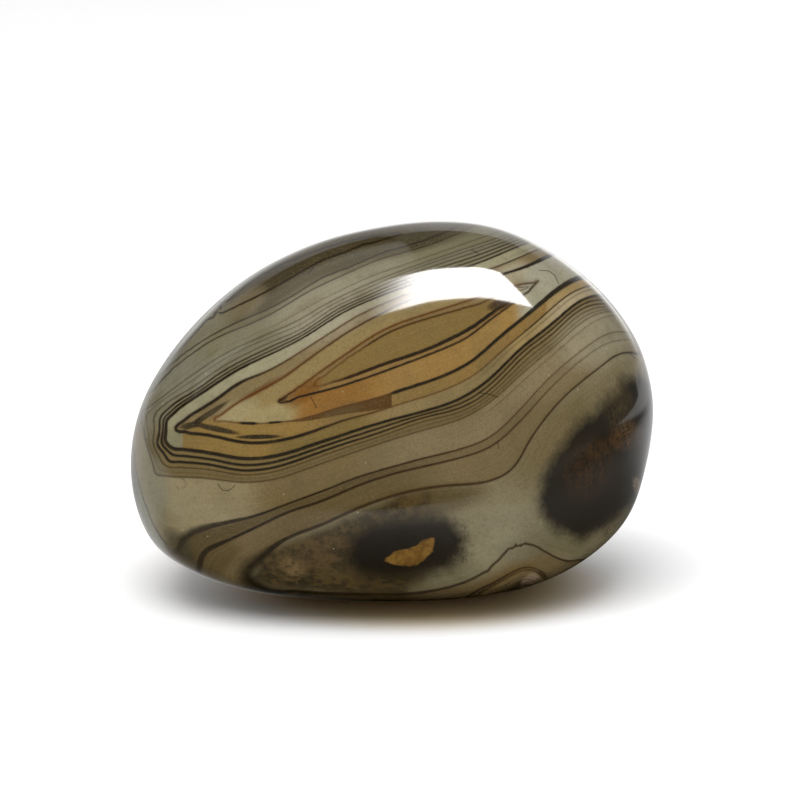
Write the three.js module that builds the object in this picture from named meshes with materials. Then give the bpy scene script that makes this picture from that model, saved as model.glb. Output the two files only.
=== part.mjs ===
// A polished agate pebble, as one solid stone.
//
// Units are millimetres. +X runs along the stone, +Y goes from its front to its back and +Z is up.
// The origin lies on the surface that the stone rests on, under the middle of its box.

import * as THREE from 'three';
import { mergeVertices } from 'three/addons/utils/BufferGeometryUtils.js';

// Outline of the stone from the front, [x, z] from its middle, clockwise from the right-hand end.
const OUTLINE = [
  [26.1, -0.3], [25.5, -5.4], [23.75, -10.6], [20.1, -14.3], [14.9, -16.95], [8.0, -18.25],
  [0.0, -18.5], [-8.0, -18.1], [-15.0, -17.1], [-20.4, -15.2], [-24.0, -12.6], [-25.7, -8.8],
  [-26.1, -4.4], [-25.25, 0.0], [-23.2, 4.05], [-19.35, 8.85], [-14.25, 13.1], [-8.3, 16.1],
  [-2.3, 17.75], [4.7, 18.5], [10.7, 17.7], [16.6, 14.8], [21.5, 10.6], [24.5, 6.3], [25.7, 2.8],
];
const HALF_HEIGHT = 18.5; // of the outline, above and below its middle
const HALF_DEPTH = 20.2; // half the depth at the middle's height, front to back
const BELLY = 0.2; // how much deeper the stone is at its foot than at its middle, as a share
const BACK_SWELL = 1.03; // depth of the back half over that of the front half
const FULLNESS = 2.3; // 2 is an ellipse from rim to middle, more is squarer
const SKEW = 0.06; // how far the stone's depth shifts back for each unit towards its right-hand end
const REST_GRIND = 0.4; // height lost at the foot, which leaves the flat that the stone rests on

// How finely the surface is cut into facets.
const FACETS_A_SIDE = 28; // on each side of the cube that the surface is blown up from
const OUTLINE_STEPS = 900;

// The outline as distances from the middle, in order of angle.
const rim = new THREE.CatmullRomCurve3(
  OUTLINE.map(([x, z]) => new THREE.Vector3(x, 0, z)), true, 'centripetal')
  .getPoints(OUTLINE_STEPS)
  .slice(1)
  .map((point) => ({ angle: Math.atan2(point.z, point.x), reach: Math.hypot(point.x, point.z) }))
  .sort((a, b) => a.angle - b.angle);

// Distance from the middle to the outline, at an angle from +X towards +Z.
function rimReach(angle) {
  let after = rim.findIndex((entry) => entry.angle >= angle);
  if (after < 0) after = 0;
  const low = rim[(after + rim.length - 1) % rim.length];
  const high = rim[after];
  const turn = 2 * Math.PI;
  const span = (high.angle - low.angle + turn) % turn;
  const share = ((angle - low.angle + turn) % turn) / span;
  return low.reach + (high.reach - low.reach) * share;
}

// The point of the stone's surface that a unit direction from its middle meets.
function surfacePoint(direction) {
  const across = Math.hypot(direction.x, direction.z);
  const outward = rimReach(Math.atan2(direction.z, direction.x));
  const halfDepth = HALF_DEPTH * (direction.y > 0 ? BACK_SWELL : 1);
  const reach = ((across / outward) ** FULLNESS
    + (Math.abs(direction.y) / halfDepth) ** FULLNESS) ** (-1 / FULLNESS);
  const point = direction.clone().multiplyScalar(reach);
  point.y *= 1 - BELLY * point.z / HALF_HEIGHT;
  point.y += SKEW * point.x;
  point.z = Math.max(point.z, REST_GRIND - HALF_HEIGHT);
  return point;
}

function pebbleGeometry() {
  const cube = new THREE.BoxGeometry(2, 2, 2, FACETS_A_SIDE, FACETS_A_SIDE, FACETS_A_SIDE);
  cube.deleteAttribute('normal');
  cube.deleteAttribute('uv');
  const geometry = mergeVertices(cube);
  const points = geometry.attributes.position;
  const direction = new THREE.Vector3();
  const even = (share) => Math.tan(share * Math.PI / 4); // keeps the facets alike in size
  for (let i = 0; i < points.count; i += 1) {
    direction.set(even(points.getX(i)), even(points.getY(i)), even(points.getZ(i))).normalize();
    points.setXYZ(i, ...surfacePoint(direction));
  }
  geometry.computeBoundingBox();
  const { min, max } = geometry.boundingBox;
  geometry.translate(-(min.x + max.x) / 2, -(min.y + max.y) / 2, -min.z);
  geometry.computeVertexNormals();
  return geometry;
}

const polishedAgate = new THREE.MeshStandardMaterial({
  color: new THREE.Color(0.27, 0.22, 0.13),
  roughness: 0.12,
  metalness: 0,
});

const pebble = new THREE.Mesh(pebbleGeometry(), polishedAgate);
pebble.name = 'agate_pebble';

const specimen = new THREE.Group();
specimen.add(pebble);

export default specimen;
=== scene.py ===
"""A polished pebble of banded agate with dark mineral blotches, on a white sweep.

Every length in this file is in millimetres unless its name or comment says metres.
"""

import math

import bmesh
import bpy
import numpy as np
from bpy.props import FloatProperty, FloatVectorProperty, IntProperty, PointerProperty
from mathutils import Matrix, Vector


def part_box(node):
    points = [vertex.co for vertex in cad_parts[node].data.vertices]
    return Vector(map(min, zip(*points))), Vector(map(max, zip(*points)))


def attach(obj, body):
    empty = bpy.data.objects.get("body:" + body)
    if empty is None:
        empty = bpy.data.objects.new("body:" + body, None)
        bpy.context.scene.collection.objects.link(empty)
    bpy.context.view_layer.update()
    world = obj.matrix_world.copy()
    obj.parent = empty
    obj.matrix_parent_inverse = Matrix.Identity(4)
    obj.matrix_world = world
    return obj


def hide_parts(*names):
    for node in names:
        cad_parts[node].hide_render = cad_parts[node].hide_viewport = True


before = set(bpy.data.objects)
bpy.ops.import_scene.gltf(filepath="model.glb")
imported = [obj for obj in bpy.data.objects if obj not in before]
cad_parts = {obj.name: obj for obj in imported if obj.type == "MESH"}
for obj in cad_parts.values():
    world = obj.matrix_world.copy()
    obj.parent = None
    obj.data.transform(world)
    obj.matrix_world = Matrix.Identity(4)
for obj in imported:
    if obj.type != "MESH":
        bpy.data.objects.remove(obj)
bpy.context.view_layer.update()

bl_info = {
    "name": "Banded agate pebble",
    "version": (1, 0, 0),
    "blender": (4, 5, 0),
    "location": "3D View > Sidebar > Agate",
    "description": "Builds a polished banded agate pebble and the white sweep that it rests on",
    "category": "Object",
}

NODE = "agate_pebble"
SLOT = "banded_agate"
BODY = "root"
MM = 0.001
CAMERA_SHIFT = (0.0091, 0.006)  # shares of the picture's width
SENSOR_WIDTH = 36.0

# ---------------------------------------------------------------------------------------------
# The bands. The stone is cut by nested sheets of colour that run from its front to its back, so
# they are drawn once, on a plane that faces the stone's front, and carried back through it.
# ---------------------------------------------------------------------------------------------

BAND_TILT = math.radians(12)  # the sheets rise this much towards the front
FAN_DISTANCE = 400.0  # the sheets fan out from a point this far in front of the stone's middle

# A level tells one band from the next, and counts outward from the eye. These levels carry a
# thin dark line.
EYE_INNER, EYE, FIRST_BAND, ARROW, HAIR_1 = -5, 0, 22, 37, 42
CLOSE_1, CLOSE_2, CLOSE_3, CLOSE_4, HAIR_2, OUTER, HAIR_3 = 50, 54.5, 59, 63.5, 68, 72, 79
PAIR_NEAR, PAIR_FAR, POCKET = 96, 103, 125
FIRST_LEVEL, LAST_LEVEL = -20, 150  # where the bands' colours start and end

# Guide lines of the bands: name, level, and points (across, up) from the stone's middle. A
# smooth surface through all of the guides gives the level everywhere else.
GUIDES = (
    ("eye, upper edge", EYE, (
        (-11.3, 0.5), (-9.3, 1.77), (-7.3, 3.26), (-5.3, 4.65), (-3.3, 6.05), (-1.3, 7.3), (0.7, 8.2),
        (2.7, 8.85), (4.7, 9.5), (6.7, 10.14), (8.5, 10.75), (10.7, 11.5), (12.7, 12.0), (14.3, 12.3),
    )),
    ("eye, lower edge", EYE, (
        (-9.3, 0.84), (-6.3, 1.55), (-3.3, 2.47), (1.2, 4.1), (5.7, 5.86), (7.7, 6.84), (9.7, 8.5),
        (11.7, 9.9), (13.8, 11.6),
    )),
    ("eye, left tip", EYE, ((-11.45, 0.4),)),
    ("eye, inside the left tip", -1.2, ((-10.3, 0.88),)),
    ("eye, outside the left tip", 4.5, ((-12.0, 0.12),)),
    ("eye, right tip", EYE, ((14.55, 12.4),)),
    ("eye, inside the right tip", -2.2, ((13.4, 11.62),)),
    ("eye, outside the right tip", 4.0, ((15.1, 12.75),)),
    ("eye, past the tip", -3, ((-9.3, 1.3),)),
    ("eye, left end", -7, ((-7.3, 2.32),)),
    ("eye, left part", -10, ((-5.3, 3.35),)),
    ("eye, second line above", EYE_INNER, (
        (-8.5, 1.65), (-5.3, 4.1), (-3.3, 5.45), (-0.3, 7.3), (2.7, 8.4), (5.7, 9.25), (8.57, 10.05),
    )),
    ("eye, second line below", EYE_INNER, (
        (-7.3, 1.85), (-4.3, 2.8), (-0.84, 4.1), (2.7, 5.25), (5.7, 6.55), (8.2, 7.9), (10.2, 9.4),
        (11.5, 10.14),
    )),
    ("eye, middle", -16, ((-4.3, 4.1), (0.7, 6.1), (4.7, 7.5), (7.7, 8.8))),
    ("first band, above", FIRST_BAND, (
        (-17.9, -1.55), (-16.9, -0.75), (-15.3, 0.38), (-11.3, 2.47), (-8.3, 4.65), (-4.3, 7.39),
        (-0.84, 9.26), (1.7, 10.5), (4.7, 11.4), (10.9, 13.03), (13.7, 13.95), (16.0, 15.1),
    )),
    ("first band, below", FIRST_BAND, (
        (-17.9, -1.55), (-16.9, -1.65), (-15.3, -1.82), (-13.8, -1.9), (-10.9, -1.68), (-9.3, -1.48),
        (-5.3, -0.27), (-1.3, 0.75), (0.7, 1.42), (4.7, 2.75), (7.7, 4.19), (10.7, 6.79), (13.7, 9.22),
        (16.7, 11.72), (18.6, 12.79), (19.9, 13.0),
    )),
    ("arrowhead, below", ARROW, (
        (-21.7, -2.35), (-21.3, -2.8), (-19.1, -2.9), (-17.1, -3.3), (-15.6, -3.7), (-13.6, -3.85),
        (-11.3, -3.58), (-9.3, -3.12), (-4.3, -1.35), (-2.3, -0.9), (0.7, 0.08), (4.7, 1.31),
        (6.7, 2.14), (8.7, 3.35), (10.7, 5.21), (14.7, 8.55), (16.7, 10.38), (18.7, 11.68),
        (20.7, 12.1),
    )),
    ("arrowhead, above", ARROW, (
        (-21.7, -2.35), (-20.7, -1.3), (-19.1, -0.4), (-17.3, 0.75), (-15.3, 2.28), (-13.3, 3.0),
        (-11.3, 4.0), (-7.3, 6.51), (-3.45, 8.93), (-0.84, 10.14), (1.7, 11.2), (4.7, 12.1),
        (9.7, 13.54), (15.0, 15.75),
    )),
    ("first close line, left end", CLOSE_1, ((-22.6, -1.6), (-22.75, -3.4))),
    ("first close line, lower left corner", CLOSE_1, ((-22.75, -3.4), (-22.0, -4.35))),
    ("first close line, below", CLOSE_1, (
        (-22.0, -4.35), (-19.3, -4.65), (-17.3, -4.98), (-15.3, -5.4), (-13.3, -5.36), (-11.3, -5.06),
        (-7.3, -3.77), (-1.3, -1.82), (2.7, -0.76), (5.7, 0.14), (7.7, 1.12), (9.7, 2.56), (12.7, 5.54),
        (15.7, 7.9), (18.7, 10.42), (20.1, 11.0), (21.9, 10.9),
    )),
    ("first close line, above", CLOSE_1, (
        (-22.6, -1.6), (-21.5, -0.4), (-19.3, 1.03), (-15.3, 3.63), (-13.3, 4.56), (-9.3, 6.5),
        (-5.3, 9.05), (-3.3, 10.05), (0.7, 11.61), (4.7, 12.92), (8.7, 14.23), (12.7, 15.9),
    )),
    ("third close line, left end", CLOSE_3, ((-23.2, -1.2), (-23.5, -4.0))),
    ("third close line, lower left corner", CLOSE_3, ((-23.5, -4.0), (-22.3, -5.65))),
    ("third close line, below", CLOSE_3, (
        (-22.3, -5.65), (-20.3, -5.8), (-18.3, -5.95), (-15.3, -6.6), (-13.3, -6.53), (-11.3, -6.14),
        (-5.3, -4.05), (-1.3, -2.79), (2.7, -1.36), (4.7, -0.9), (6.7, -0.37), (8.7, 0.66),
        (10.7, 2.38), (13.7, 5.4), (15.7, 6.79), (18.7, 9.54), (20.7, 10.19), (22.3, 10.0),
    )),
    ("third close line, above", CLOSE_3, (
        (-23.2, -1.2), (-22.1, 0.05), (-21.3, 0.5), (-19.3, 1.68), (-17.3, 3.17), (-15.3, 4.28),
        (-11.3, 6.2), (-9.3, 7.07), (-5.3, 9.7), (-3.3, 10.55), (0.7, 12.33), (4.7, 13.7), (8.7, 15.02),
        (12.7, 16.6),
    )),
    ("outer thin line, left end", OUTER, ((-25.1, -1.5), (-24.8, -3.6), (-24.2, -5.2), (-23.7, -6.9))),
    ("outer thin line, below", OUTER, (
        (-23.7, -6.9), (-22.8, -7.2), (-19.8, -7.25), (-18.1, -7.4), (-14.7, -7.8), (-11.3, -7.35),
        (-9.3, -6.65), (-3.3, -4.56), (0.7, -3.25), (4.7, -2.09), (6.7, -1.52), (9.7, 0.2),
        (13.2, 3.35), (16.2, 5.86), (18.7, 8.1), (20.7, 9.26), (22.7, 9.4),
    )),
    ("outer thin line, above", OUTER, (
        (-25.0, -0.7), (-23.3, 0.6), (-21.3, 2.1), (-17.3, 4.85), (-16.1, 5.5), (-13.3, 6.75),
        (-9.3, 8.5), (-7.3, 9.75), (-3.3, 11.73), (0.7, 13.35), (5.7, 15.1), (11.35, 16.98),
    )),
    ("upper pair, near line", PAIR_NEAR, (
        (-24.1, 1.3), (-22.3, 3.35), (-20.5, 4.75), (-18.1, 6.47), (-14.3, 8.05), (-12.3, 8.98),
        (-8.3, 11.4), (-4.3, 13.26), (-1.3, 14.56), (2.7, 15.68), (4.7, 16.37), (8.3, 17.95),
    )),
    ("left end", PAIR_NEAR, (
        (-25.9, -4.6), (-25.6, -7.0), (-25.03, -9.16), (-23.7, -12.5), (-22.7, -13.9),
    )),
    ("lower pair, near line", PAIR_NEAR, (
        (-21.8, -14.4), (-21.3, -13.77), (-20.5, -12.84), (-19.3, -12.42), (-17.3, -11.9),
        (-13.3, -11.0), (-11.3, -10.18), (-7.3, -8.74), (-3.3, -7.16), (0.7, -6.0), (2.7, -5.44),
        (6.7, -4.46), (9.7, -3.3), (11.7, -1.55), (15.7, 2.75), (17.7, 4.5), (19.7, 6.05), (21.7, 7.3),
        (22.7, 7.44), (24.1, 7.1),
    )),
    ("upper pair, far line", PAIR_FAR, (
        (-23.8, 2.3), (-22.3, 4.0), (-19.3, 6.23), (-16.3, 7.91), (-12.3, 9.63), (-9.3, 11.31),
        (-7.3, 12.61), (-3.3, 14.14), (-1.3, 15.16), (0.7, 15.7), (4.7, 16.98), (7.0, 18.1),
    )),
    ("lower pair, far line", PAIR_FAR, (
        (-19.36, -16.37), (-19.36, -15.53), (-18.9, -14.51), (-17.7, -14.1), (-14.3, -12.56),
        (-10.3, -10.65), (-7.3, -9.72), (-3.3, -8.0), (0.7, -6.72), (4.7, -5.81), (9.7, -4.28),
        (12.2, -2.2), (15.7, 1.6), (17.7, 3.5), (19.7, 5.1), (21.7, 6.35), (23.5, 6.5),
    )),
    ("top pocket, lower edge", POCKET, (
        (-18.7, 8.4), (-16.3, 9.54), (-12.85, 11.2), (-9.8, 12.9), (-7.3, 14.37), (-4.3, 15.44),
        (-2.8, 16.1),
    )),
    ("top pocket, upper edge", POCKET, (
        (-22.1, 4.65), (-21.2, 5.6), (-20.3, 6.6), (-19.3, 7.77), (-17.5, 9.45), (-15.3, 11.4),
        (-13.3, 12.9), (-9.2, 14.84), (-4.3, 16.42), (-1.8, 16.94), (0.7, 17.21),
    )),
    ("top pocket, middle", 131, (
        (-16.5, 9.95), (-14.8, 10.95), (-13.1, 12.05), (-11.3, 13.0), (-9.3, 13.95), (-6.8, 15.05),
        (-4.8, 15.8),
    )),
    ("top pocket, right end", 127, ((-2.5, 16.48),)),
    ("left of the top pocket", 131, ((-22.7, 5.2), (-20.9, 7.2), (-18.1, 10.05))),
    ("past the top pocket", 112, ((-13.8, 13.5), (-9.5, 15.5), (-4.5, 17.1), (0.5, 17.9))),
    ("foot pocket, upper edge", POCKET, (
        (-13.5, -18.15), (-14.8, -17.5), (-14.9, -17.0), (-14.6, -16.46), (-13.4, -15.53),
        (-11.3, -13.72), (-9.3, -12.79), (-7.3, -12.1), (-3.3, -10.27), (0.7, -8.9), (4.7, -8.14),
        (8.7, -7.86), (10.5, -7.39), (12.2, -6.28), (13.7, -3.5), (16.7, 0.38), (18.7, 2.19),
        (20.7, 3.72), (22.7, 5.26), (23.7, 5.4), (24.6, 5.07),
    )),
    ("foot pocket, lower edge", POCKET, (
        (-10.3, -18.65), (-6.3, -18.88), (-2.3, -18.93), (1.2, -18.93), (3.7, -18.65), (6.7, -17.95),
        (9.1, -16.83), (10.7, -15.44), (11.5, -14.4), (12.3, -13.72), (13.0, -13.6), (14.7, -14.32),
        (16.7, -15.53), (17.7, -15.77), (18.9, -15.5),
    )),
    ("inside the foot fold", 131, ((9.5, -15.1), (10.7, -13.8), (12.4, -12.6))),
    ("outside the foot fold", 118, (
        (9.9, -17.3), (11.2, -16.3), (12.4, -15.6), (13.5, -15.2), (14.8, -15.6), (16.0, -16.5),
    )),
    ("foot pocket, middle", 140, (
        (-10.3, -15.5), (-5.3, -14.3), (0.7, -14.0), (5.7, -13.0), (10.7, -11.0), (14.7, -8.5),
        (17.7, -4.5), (20.7, -0.5), (23.2, 2.0),
    )),
    ("foot pocket, lower middle", 134, (
        (-12.3, -17.0), (-4.3, -17.3), (3.7, -16.5), (16.7, -13.0), (19.7, -14.0),
    )),
    ("foot eye, outer line", 104, (
        (8.7, -18.4), (10.25, -17.7), (11.4, -17.0), (12.5, -16.35), (13.4, -16.0), (14.2, -16.1),
        (15.0, -16.65), (15.5, -17.3),
    )),
    ("foot eye, inner line", OUTER, (
        (10.5, -18.75), (11.7, -18.1), (12.7, -17.45), (13.4, -17.1), (13.9, -17.05), (14.35, -17.3),
        (14.5, -17.8),
    )),
)

# How each line is drawn below the eye and above it: (across, width, ink, rust) along the line.
# Ink is 1 for an opaque line, and rust turns the line from black to brown.
PENS = {
    EYE_INNER: (
        ((-7.3, 0.12, 0.5, 0.3), (-4.5, 0.34, 1.0, 0.1), (9.7, 0.38, 1.0, 0.0), (11.5, 0.3, 0.9, 0.2)),
        ((-8.5, 0.15, 0.4, 0.6), (-3.0, 0.15, 0.7, 0.3), (-2.0, 0.2, 0.95, 0.2),
         (11.0, 0.18, 0.75, 0.4)),
    ),
    EYE: (
        ((-11.3, 0.26, 1.0, 0.1), (-9.0, 0.24, 1.0, 0.0), (13.8, 0.22, 0.9, 0.1)),
        ((-11.3, 0.24, 0.95, 0.3), (-9.0, 0.15, 0.9, 0.8), (9.0, 0.15, 0.9, 0.8),
         (14.0, 0.18, 0.8, 0.5)),
    ),
    FIRST_BAND: (
        ((-17.0, 0.14, 0.6, 0.7), (-15.6, 0.14, 0.6, 0.7), (-15.1, 0.3, 1.0, 0.0),
         (-13.8, 0.3, 1.0, 0.0), (-13.4, 0.12, 0.7, 0.4), (-12.6, 0.12, 0.7, 0.4),
         (-12.3, 0.24, 1.0, 0.0), (-11.3, 0.22, 1.0, 0.0), (-10.9, 0.13, 0.6, 0.5),
         (-8.0, 0.14, 0.6, 0.5), (-0.6, 0.16, 0.7, 0.4), (0.2, 0.34, 1.0, 0.0), (8.0, 0.32, 1.0, 0.0),
         (13.0, 0.36, 1.0, 0.0), (17.0, 0.55, 1.0, 0.0), (20.0, 0.5, 0.9, 0.0)),
        ((-17.0, 0.2, 0.8, 0.9), (-13.0, 0.22, 0.9, 0.9), (-8.0, 0.18, 0.85, 0.5), (0.0, 0.2, 0.9, 0.1),
         (12.0, 0.26, 1.0, 0.0), (16.0, 0.42, 1.0, 0.0)),
    ),
    ARROW: (
        ((-21.5, 0.34, 1.0, 0.0), (-9.0, 0.34, 1.0, 0.0), (-5.0, 0.2, 0.9, 0.1), (0.0, 0.12, 0.75, 0.4),
         (10.0, 0.11, 0.75, 0.3), (14.0, 0.14, 0.95, 0.0), (20.0, 0.14, 0.9, 0.1)),
        ((-21.5, 0.34, 1.0, 0.0), (-15.5, 0.34, 1.0, 0.0), (-13.0, 0.22, 0.9, 0.1),
         (-9.0, 0.14, 0.85, 0.4), (6.0, 0.13, 0.85, 0.3), (12.0, 0.13, 0.95, 0.0)),
    ),
    HAIR_1: (
        ((4.0, 0.1, 0.0, 0.2), (10.0, 0.1, 0.3, 0.2), (15.0, 0.11, 0.5, 0.1), (20.0, 0.11, 0.5, 0.1)),
        ((10.0, 0.1, 0.0, 0.2), (14.0, 0.1, 0.4, 0.1)),
    ),
    CLOSE_1: (
        ((-23.0, 0.38, 1.0, 0.0), (-9.0, 0.37, 1.0, 0.0), (0.0, 0.28, 1.0, 0.0), (5.0, 0.3, 1.0, 0.0),
         (13.0, 0.3, 1.0, 0.0), (20.0, 0.28, 0.95, 0.0)),
        ((-22.8, 0.32, 1.0, 0.0), (-15.0, 0.28, 1.0, 0.0), (-12.0, 0.18, 0.95, 0.0),
         (14.0, 0.17, 0.95, 0.0)),
    ),
    CLOSE_2: (
        ((-23.0, 0.28, 1.0, 0.0), (-9.0, 0.28, 1.0, 0.0), (0.0, 0.2, 0.95, 0.0),
         (20.0, 0.16, 0.9, 0.0)),
        ((-22.8, 0.2, 0.95, 0.0), (-12.0, 0.14, 0.9, 0.0), (14.0, 0.14, 0.9, 0.0)),
    ),
    CLOSE_3: (
        ((-23.5, 0.28, 1.0, 0.0), (-9.0, 0.28, 1.0, 0.0), (0.0, 0.19, 0.95, 0.0),
         (20.0, 0.15, 0.85, 0.0)),
        ((-23.5, 0.22, 0.95, 0.0), (-15.0, 0.17, 0.9, 0.0), (-10.0, 0.13, 0.85, 0.0),
         (14.0, 0.14, 0.9, 0.0)),
    ),
    CLOSE_4: (
        ((-24.0, 0.15, 0.7, 0.1), (20.0, 0.13, 0.6, 0.1)),
        ((-24.0, 0.13, 0.7, 0.0), (-10.0, 0.12, 0.6, 0.0), (14.0, 0.13, 0.75, 0.0)),
    ),
    HAIR_2: (
        ((-22.0, 0.1, 0.3, 0.2), (0.0, 0.1, 0.3, 0.2), (12.0, 0.1, 0.5, 0.1), (20.0, 0.1, 0.5, 0.1)),
        ((-22.0, 0.1, 0.4, 0.0), (-6.0, 0.1, 0.5, 0.0), (8.0, 0.12, 0.6, 0.0)),
    ),
    OUTER: (
        ((-25.0, 0.16, 0.7, 0.1), (0.0, 0.15, 0.6, 0.1), (20.0, 0.13, 0.5, 0.2)),
        ((-25.0, 0.14, 0.55, 0.0), (0.0, 0.13, 0.5, 0.0), (11.0, 0.13, 0.6, 0.0)),
    ),
    HAIR_3: (
        ((8.0, 0.1, 0.0, 0.2), (11.0, 0.1, 0.5, 0.2), (16.0, 0.1, 0.4, 0.2)),
        ((-20.0, 0.1, 0.15, 0.1), (-6.0, 0.1, 0.4, 0.0), (8.0, 0.11, 0.5, 0.0)),
    ),
    PAIR_NEAR: (
        ((-26.0, 0.1, 0.6, 0.0), (-22.8, 0.12, 0.7, 0.0), (-21.8, 0.95, 0.8, 0.0),
         (-19.5, 0.7, 0.85, 0.0), (-17.0, 0.4, 0.9, 0.0), (-13.0, 0.24, 0.95, 0.0),
         (-9.0, 0.2, 0.95, 0.0), (5.0, 0.19, 0.9, 0.1), (13.0, 0.14, 0.65, 0.2),
         (24.0, 0.13, 0.5, 0.2)),
        ((-24.0, 0.15, 0.75, 0.0), (-15.0, 0.16, 0.75, 0.0), (8.0, 0.13, 0.65, 0.1)),
    ),
    PAIR_FAR: (
        ((-19.5, 0.6, 0.9, 0.0), (-16.0, 0.3, 0.95, 0.0), (11.0, 0.18, 0.85, 0.1),
         (18.0, 0.12, 0.5, 0.2), (24.0, 0.12, 0.35, 0.2)),
        ((-24.0, 0.15, 0.7, 0.0), (0.0, 0.17, 0.8, 0.0), (7.0, 0.17, 0.95, 0.0)),
    ),
    POCKET: (
        ((-15.0, 1.5, 1.0, 0.0), (-13.6, 1.0, 1.0, 0.0), (-11.0, 0.36, 0.9, 0.0), (0.0, 0.28, 0.8, 0.1),
         (8.0, 0.26, 0.8, 0.1), (13.0, 0.2, 0.9, 0.1), (21.0, 0.17, 0.85, 0.1),
         (24.0, 0.24, 0.85, 0.1)),
        ((-22.0, 0.17, 0.85, 0.0), (-3.0, 0.22, 1.0, 0.0), (1.0, 0.18, 0.9, 0.0)),
    ),
}

# The long axis of the eye, (across, up), which parts the lines below it from those above.
EYE_AXIS = ((-25.3, -3.5), (-21.5, -2.3), (-11.3, 0.3), (0.0, 4.9), (14.3, 12.2), (22.7, 16.5))

# Outlines of the blotches, (across, up).
RIGHT_BLOTCH = (
    (19.7, -0.7), (17.7, -2.3), (15.7, -5.3), (15.0, -7.5), (14.6, -9.5), (15.2, -11.5), (16.7, -12.9),
    (18.7, -13.6), (21.4, -12.9), (24.7, -10.0), (27.5, -6.5), (27.7, 0.5), (26.2, 3.3), (23.4, 2.8),
    (22.3, 1.4), (20.7, 0.5),
)
FOOT_BLOTCH = (
    (-4.8, -14.5), (-4.1, -13.0), (-2.3, -11.9), (0.7, -11.4), (3.9, -11.0), (6.4, -11.6), (7.2, -13.3),
    (7.0, -15.0), (5.7, -16.3), (3.2, -17.2), (-0.3, -17.4), (-3.3, -16.9), (-4.6, -15.8),
)
FOOT_POCKET = (
    (-15.0, -17.8), (-13.6, -15.6), (-10.8, -13.7), (-7.3, -12.3), (-3.3, -10.4), (0.7, -9.0),
    (4.2, -8.6), (5.6, -9.6), (6.2, -11.5), (6.4, -14.0), (5.4, -16.4), (3.2, -18.0), (0.7, -18.9),
    (-6.3, -18.9), (-12.3, -18.5),
)
POCKET_FADE = (6.5, 1.0)  # the pocket's brown thins out towards its right end
TAN_SPOT = (
    (-1.0, -15.55), (-0.5, -15.25), (0.4, -14.6), (1.7, -14.35), (2.5, -14.0), (3.1, -13.5),
    (4.1, -13.3), (4.2, -13.6), (4.0, -14.6), (3.1, -15.5), (2.7, -15.9), (1.7, -16.15), (0.2, -16.0),
    (-0.3, -15.8),
)

# Body colours of the bands from the eye outward: (last level, below the eye, above the eye), as
# displayed 0-255 values.
ZONES = (
    (EYE_INNER, (110, 89, 46), (110, 89, 46)),
    (EYE, (122, 95, 52), (112, 92, 54)),
    (FIRST_BAND, (131, 101, 53), (123, 105, 66)),
    (ARROW, (116, 93, 51), (112, 96, 64)),
    (CLOSE_1, (119, 102, 67), (135, 129, 103)),
    (CLOSE_4, (104, 88, 52), (108, 102, 80)),
    (OUTER, (95, 82, 50), (104, 99, 80)),
    (PAIR_NEAR, (114, 100, 72), (102, 97, 74)),
    (PAIR_FAR, (98, 84, 56), (88, 80, 56)),
    (POCKET, (104, 89, 60), (63, 54, 30)),
    (LAST_LEVEL, (115, 105, 79), (57, 49, 32)),
)
ZONE_EDGE = 0.5  # levels on each side of a zone's end over which its colour turns into the next

# Dark wedge under the first band: it starts at its left end and thickens to its right end.
WEDGE_ENDS = (-11.0, -0.1)
WEDGE_THICKENS = 1.4  # levels a millimetre
WEDGE_SOFTNESS = (0.4, 0.08)  # at its ends
WEDGE_EDGE = 0.8  # levels on each side of its lower edge
WEDGE_STRENGTH = 0.9

# Stains that stay between two levels, two of them partly painted glow beside the highlight: (first
# level, last level, left end, fade at the left end, right end, fade at the right end, whether they
# lie above the eye too, colour, strength).
BAND_STAINS_AND_GLOW = (
    (ARROW, CLOSE_1, -21.0, 0.05, -2.5, 9.0, False, (120, 96, 48), 0.95),
    (ARROW, CLOSE_1, -26.0, 0.5, -21.0, 0.05, False, (118, 115, 90), 0.9),
    (ARROW, CLOSE_1, -11.5, 3.0, -2.5, 3.0, False, (104, 86, 44), 0.85),
    (ARROW, CLOSE_1, 11.5, 3.0, 30.0, 1.0, False, (138, 118, 76), 0.95),
    # Pale stain under the highlight's right end: partly the band's own milky colour, partly a painted
    # glow of the softbox's soft edge.
    (ARROW, CLOSE_1, 15.5, 3.5, 30.0, 1.0, False, (156, 142, 112), 0.95),
    (FIRST_BAND, ARROW, -20.0, 2.0, -8.0, 4.0, False, (124, 99, 50), 0.9),
    (FIRST_BAND, ARROW, 7.0, 5.0, 30.0, 1.0, False, (124, 97, 50), 0.9),
    (FIRST_BAND, ARROW, 15.4, 0.4, 30.0, 1.0, False, (146, 124, 82), 0.9),
    (EYE, FIRST_BAND, -18.0, 1.0, -9.5, 3.0, False, (138, 125, 88), 0.9),
    (EYE, FIRST_BAND, -9.5, 2.0, -2.0, 5.0, False, (121, 82, 30), 0.85),
    (EYE, FIRST_BAND, 8.0, 4.0, 30.0, 1.0, False, (137, 108, 58), 0.9),
    # Pale grey to the right of the highlight: partly the bands' own grey, partly a painted glow of the
    # highlight's soft edge.
    (FIRST_LEVEL, FIRST_BAND, 12.7, 1.6, 30.0, 1.0, True, (150, 146, 126), 0.95),
    (OUTER, PAIR_NEAR, -26.0, 0.5, -14.0, 5.0, False, (127, 116, 86), 0.9),
    (OUTER, PAIR_NEAR, -13.5, 4.0, -2.0, 7.0, False, (96, 81, 48), 0.8),
    (PAIR_NEAR, PAIR_FAR, -24.0, 1.0, 2.0, 9.0, False, (72, 59, 32), 0.85),
    (PAIR_NEAR, LAST_LEVEL, -40.0, 1.0, -22.6, 0.8, False, (116, 115, 98), 0.9),
    (PAIR_FAR, POCKET, -12.5, 5.0, 2.5, 6.0, False, (80, 66, 36), 0.75),
)
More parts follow.
